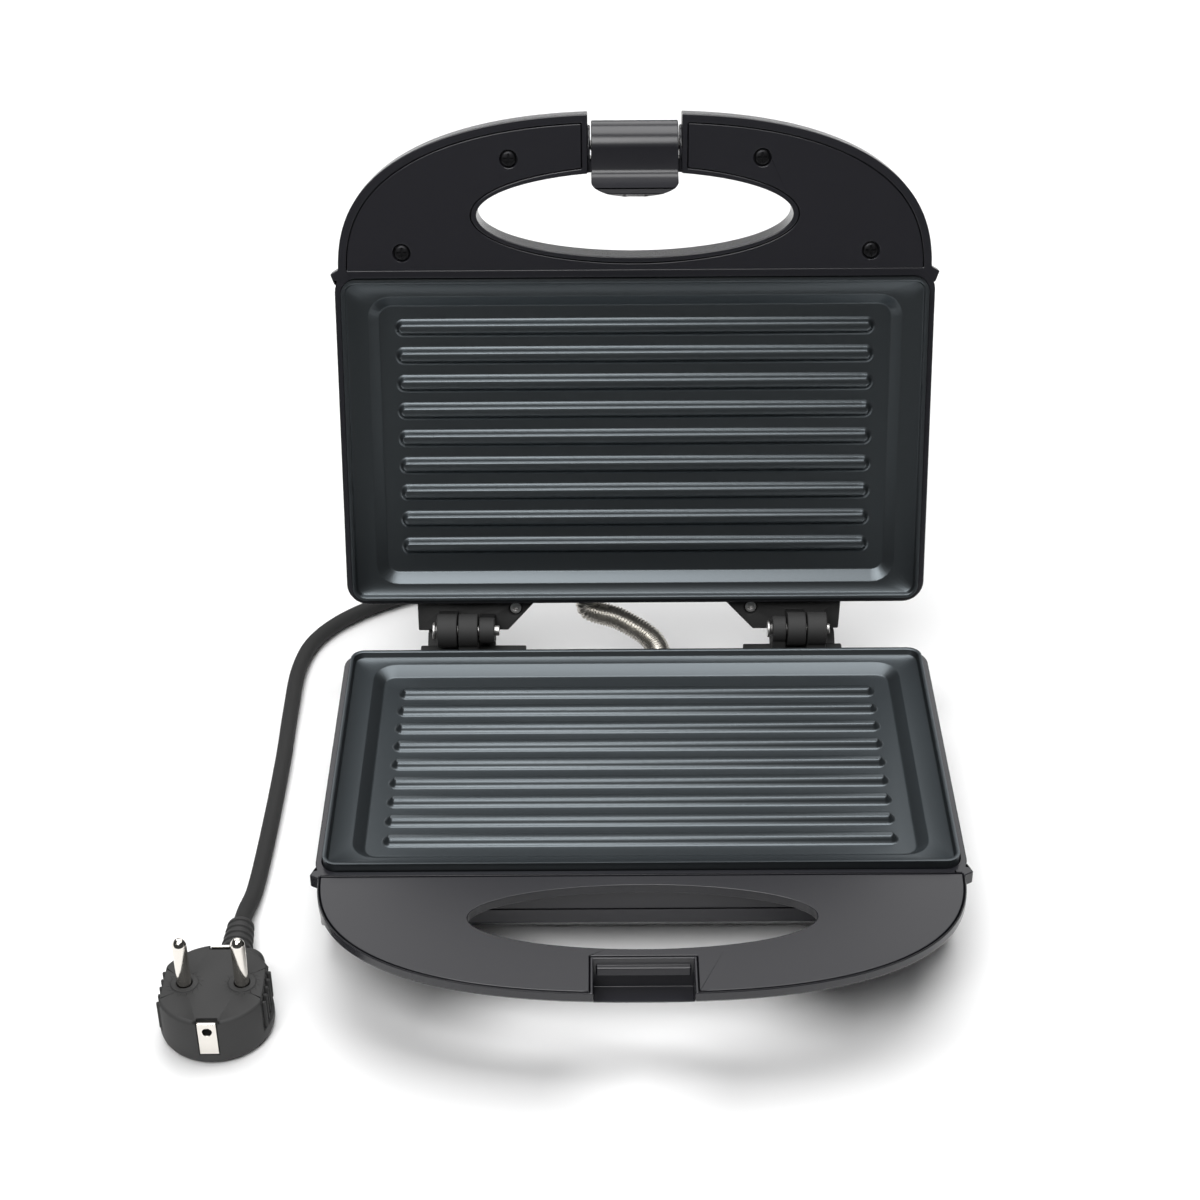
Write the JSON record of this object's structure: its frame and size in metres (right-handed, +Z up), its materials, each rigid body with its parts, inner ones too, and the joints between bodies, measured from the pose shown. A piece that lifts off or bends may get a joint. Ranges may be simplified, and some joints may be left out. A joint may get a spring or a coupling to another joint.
{
  "type": "panini press",
  "caption": "Hinged contact grill with ribbed non-stick plates, bow handles with a swing latch, and a mains cord with an earthed plug.",
  "frame": {"origin": "on the table under the middle of the body's box, cord left out", "axes": "+X to the right seen from the handles, +Y to the back, +Z up"},
  "size_m": [0.2719, 0.4142, 0.2281],
  "materials": {
    "gloss_black_plastic": "high gloss",
    "coated_casting": "dark non-stick coating with fine fleck",
    "matte_black_plastic": "fine texture",
    "black_rubber": "matt",
    "nickel": "bright",
    "pale_insulator": "satin",
    "red_lens": "clear tint",
    "green_lens": "clear tint",
    "steel": "satin"
  },
  "bodies": {
    "base": {"base_shell": "gloss_black_plastic", "base_handle_cover": "gloss_black_plastic", "lower_grill_plate": "coated_casting", "lower_heat_shield": "steel", "lower_heating_element": "steel", "lower_element_clamp": "steel", "thermostat": "steel", "thermal_fuse": "pale_insulator", "terminal_block": "pale_insulator", "foot_front_left": "black_rubber", "foot_front_right": "black_rubber", "foot_rear_left": "black_rubber", "foot_rear_right": "black_rubber", "lower_plate_screw_1": "steel", "lower_plate_screw_2": "steel", "lower_plate_screw_3": "steel", "lower_plate_screw_4": "steel", "hinge_base_left": "matte_black_plastic", "hinge_base_right": "matte_black_plastic", "hinge_pin_left": "steel", "hinge_pin_right": "steel", "wire_conduit": "steel", "cord_strain_relief": "black_rubber", "power_cord": "black_rubber", "plug_body": "matte_black_plastic", "plug_pin_left": "nickel", "plug_pin_right": "nickel", "plug_earth_clip_front": "nickel", "plug_earth_clip_rear": "nickel"},
    "lid": {"lid_shell": "gloss_black_plastic", "lid_handle_cover": "gloss_black_plastic", "upper_grill_plate": "coated_casting", "upper_heat_shield": "steel", "upper_heating_element": "steel", "upper_element_clamp": "steel", "upper_plate_screw_1": "steel", "upper_plate_screw_2": "steel", "upper_plate_screw_3": "steel", "upper_plate_screw_4": "steel", "power_lamp_lens": "red_lens", "power_neon_lamp": "pale_insulator", "ready_lamp_lens": "green_lens", "ready_neon_lamp": "pale_insulator", "handle_screw_1": "steel", "handle_screw_2": "steel", "handle_screw_3": "steel", "handle_screw_4": "steel", "hinge_lid_left": "matte_black_plastic", "hinge_lid_right": "matte_black_plastic", "hinge_screw_left": "steel", "hinge_screw_right": "steel", "latch_axle": "steel"},
    "latch": {"latch": "gloss_black_plastic"}
  },
  "joints": [
    {"name": "lid_hinge", "type": "hinge", "parent": "base", "child": "lid", "pos_m": [0, 0.06137, 0.0423], "axis": [1, 0, 0], "range_deg": [0, 105.9], "deforming": ["wire_conduit"]},
    {"name": "latch_pivot", "type": "hinge", "parent": "lid", "child": "latch", "pos_m": [0, 0.12151, 0.21472], "axis": [-1, 0, 0], "range_deg": [0, 100]}
  ]
}
